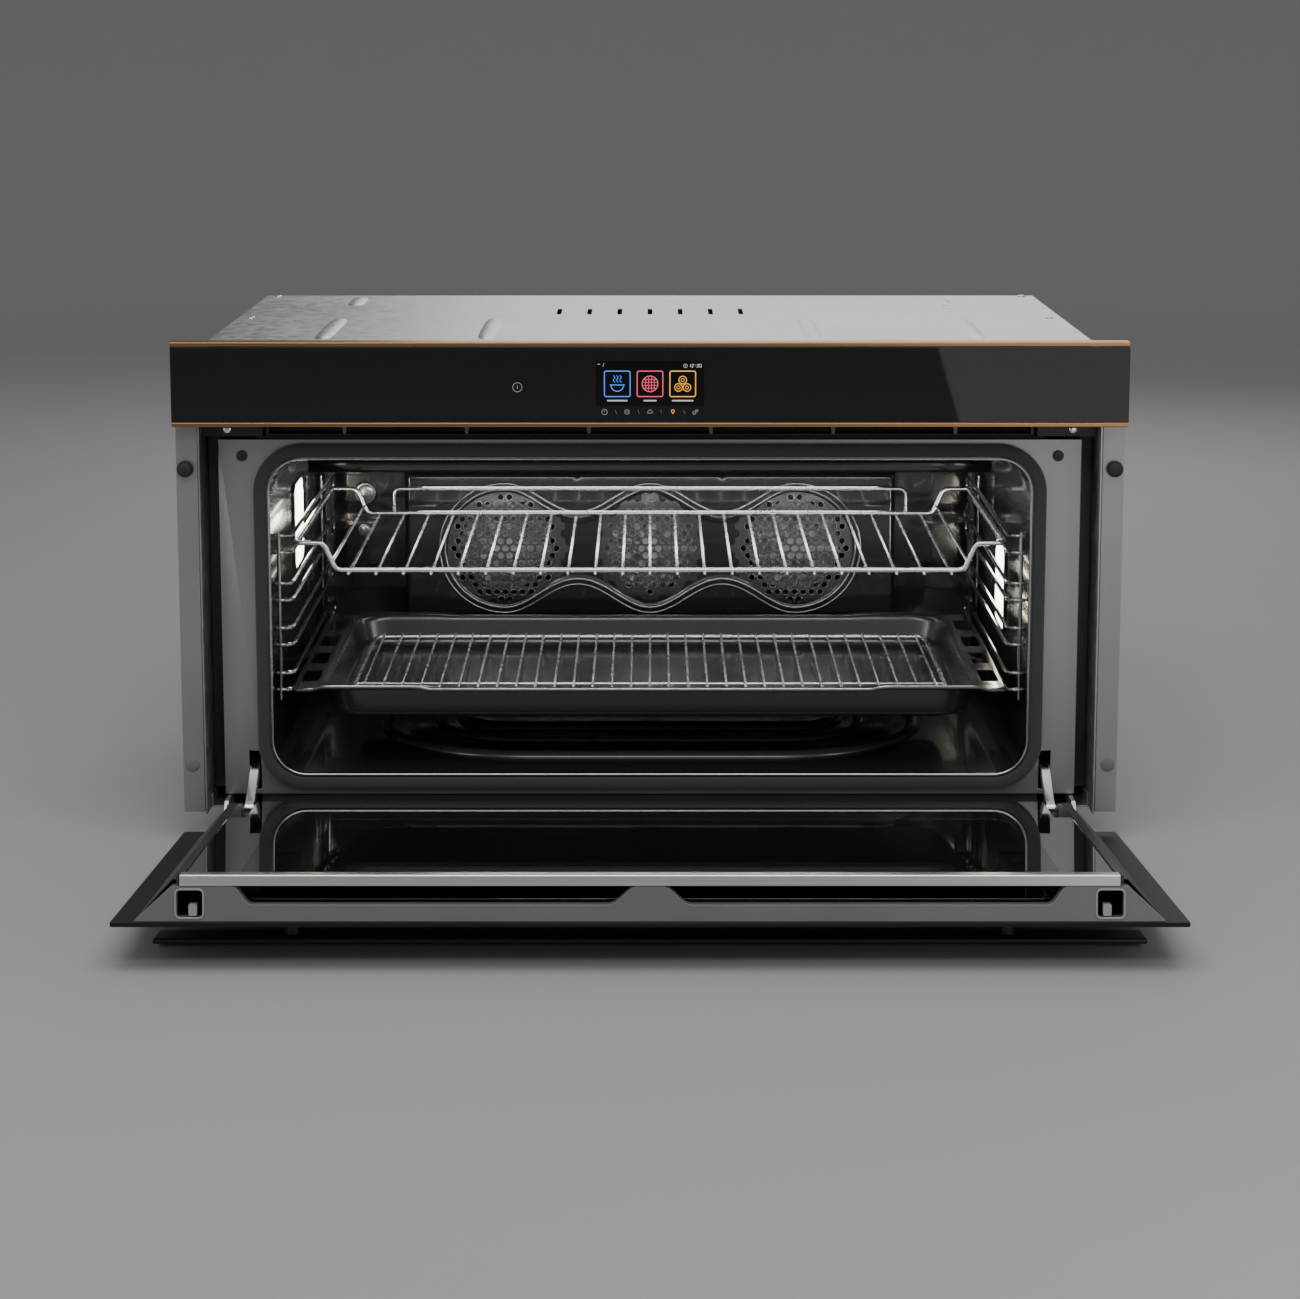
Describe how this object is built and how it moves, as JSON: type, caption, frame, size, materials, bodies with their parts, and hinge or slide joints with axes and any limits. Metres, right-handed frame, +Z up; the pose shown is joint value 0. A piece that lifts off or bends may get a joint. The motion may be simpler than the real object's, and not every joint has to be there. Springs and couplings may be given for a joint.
{
  "type": "wall oven",
  "caption": "Wide built-in oven with a drop-down glass door on linked hinge arms, sliding wire shelf and baking tray, fans, heaters and a touch control panel.",
  "frame": {"origin": "middle of the base pan's underside, 297 mm behind the closed door's outer face", "axes": "+Z up, +X to the right seen from the front, front of the oven towards -Y"},
  "size_m": [0.897, 0.9474, 0.4854],
  "materials": {
    "zinc_sheet": "galvanised sheet",
    "front_sheet": "satin grey coated sheet",
    "dark_enamel": "pyrolytic enamel with fine pale specks",
    "black_plastic": "fine moulded grain",
    "grey_plastic": "moulded, satin",
    "black_glass": "toughened black glass, opaque from behind",
    "clear_glass": "heat-reflecting clear glass",
    "bright_wire": "bright nickel-plated steel",
    "bright_bar": "brushed",
    "warm_trim": "anodised, warm tone",
    "rubber": "matt",
    "gasket": "woven glass-fibre cord",
    "wool": "mineral wool",
    "board": "solder mask",
    "heater": "dark heating rod",
    "lamp_glass": "frosted glass"
  },
  "bodies": {
    "chassis": {"base_pan": "zinc_sheet", "side_panel_left": "zinc_sheet", "side_panel_right": "zinc_sheet", "rear_cover": "zinc_sheet", "top_cover": "zinc_sheet", "mounting_flange_left": "front_sheet", "mounting_flange_right": "front_sheet", "front_plate": "front_sheet", "cavity_liner": "dark_enamel", "insulation_blanket": "wool", "door_gasket": "gasket", "fan_baffle": "dark_enamel", "fan_motor_left": "zinc_sheet", "fan_motor_centre": "zinc_sheet", "fan_motor_right": "zinc_sheet", "ring_element_left": "heater", "ring_element_centre": "heater", "ring_element_right": "heater", "grill_element": "heater", "base_element": "heater", "side_rack_left": "bright_wire", "side_rack_right": "bright_wire", "lamp_lens_left": "lamp_glass", "lamp_lens_right": "lamp_glass", "blower_housing": "zinc_sheet", "air_outlet_strip": "black_plastic", "touch_glass": "black_glass", "panel_trim_top": "warm_trim", "panel_trim_bottom": "warm_trim", "panel_carrier": "black_plastic", "display_module": "black_plastic", "control_board": "board", "terminal_block": "black_plastic", "hinge_bracket_left": "zinc_sheet", "hinge_bracket_right": "zinc_sheet", "bumper_left": "rubber", "bumper_right": "rubber", "lock_case": "zinc_sheet", "door_switch_case": "zinc_sheet"},
    "door": {"door_outer_glass": "black_glass", "door_middle_glass": "clear_glass", "door_inner_glass": "clear_glass", "door_column_left": "grey_plastic", "door_column_right": "grey_plastic", "door_top_cover": "grey_plastic", "door_bottom_rail": "grey_plastic", "inner_glass_trim": "bright_bar", "handle_bar": "black_plastic", "handle_post_left": "black_plastic", "handle_post_right": "black_plastic"},
    "hinge_arm_left": {"hinge_arm_left": "bright_wire"},
    "hinge_arm_right": {"hinge_arm_right": "bright_wire"},
    "fan_left": {"fan_left": "zinc_sheet"},
    "fan_centre": {"fan_centre": "zinc_sheet"},
    "fan_right": {"fan_right": "zinc_sheet"},
    "blower_rotor": {"blower_rotor": "zinc_sheet"},
    "lock_hook": {"lock_hook": "bright_wire"},
    "wire_shelf": {"wire_shelf": "bright_wire"},
    "baking_tray": {"baking_tray": "dark_enamel", "tray_grid": "bright_wire"}
  },
  "joints": [
    {"name": "door_hinge", "type": "hinge", "parent": "chassis", "child": "door", "pos_m": [0, -0.287, -0.009], "axis": [1, 0, 0], "range_deg": [-85, 0]},
    {"name": "hinge_arm_left_turn", "type": "hinge", "parent": "door", "child": "hinge_arm_left", "pos_m": [-0.3825, -0.29722, 0.01197], "axis": [1, 0, 0], "range_deg": [0, 111.1]},
    {"name": "hinge_arm_right_turn", "type": "hinge", "parent": "door", "child": "hinge_arm_right", "pos_m": [0.3825, -0.29722, 0.01197], "axis": [1, 0, 0], "range_deg": [0, 111.1]},
    {"name": "fan_left_spin", "type": "hinge", "parent": "chassis", "child": "fan_left", "pos_m": [-0.159, 0.164, 0.182], "axis": [0, 1, 0], "continuous": true},
    {"name": "fan_centre_spin", "type": "hinge", "parent": "chassis", "child": "fan_centre", "pos_m": [0, 0.164, 0.182], "axis": [0, 1, 0], "continuous": true},
    {"name": "fan_right_spin", "type": "hinge", "parent": "chassis", "child": "fan_right", "pos_m": [0.159, 0.164, 0.182], "axis": [0, 1, 0], "continuous": true},
    {"name": "blower_spin", "type": "hinge", "parent": "chassis", "child": "blower_rotor", "pos_m": [0, -0.072, 0.402], "axis": [1, 0, 0], "continuous": true},
    {"name": "lock_hook_turn", "type": "hinge", "parent": "chassis", "child": "lock_hook", "pos_m": [-0.384, -0.233, 0.3825], "axis": [1, 0, 0], "range_deg": [0, 15]},
    {"name": "shelf_slide", "type": "slide", "parent": "chassis", "child": "wire_shelf", "axis": [0, -1, 0], "range_m": [0, 0.28]},
    {"name": "tray_slide", "type": "slide", "parent": "chassis", "child": "baking_tray", "axis": [0, -1, 0], "range_m": [0, 0.28]}
  ],
  "couplings": [
    {"joint": "hinge_arm_left_turn", "follows": "door_hinge", "ratio": -1.3059},
    {"joint": "hinge_arm_right_turn", "follows": "door_hinge", "ratio": -1.3059}
  ]
}
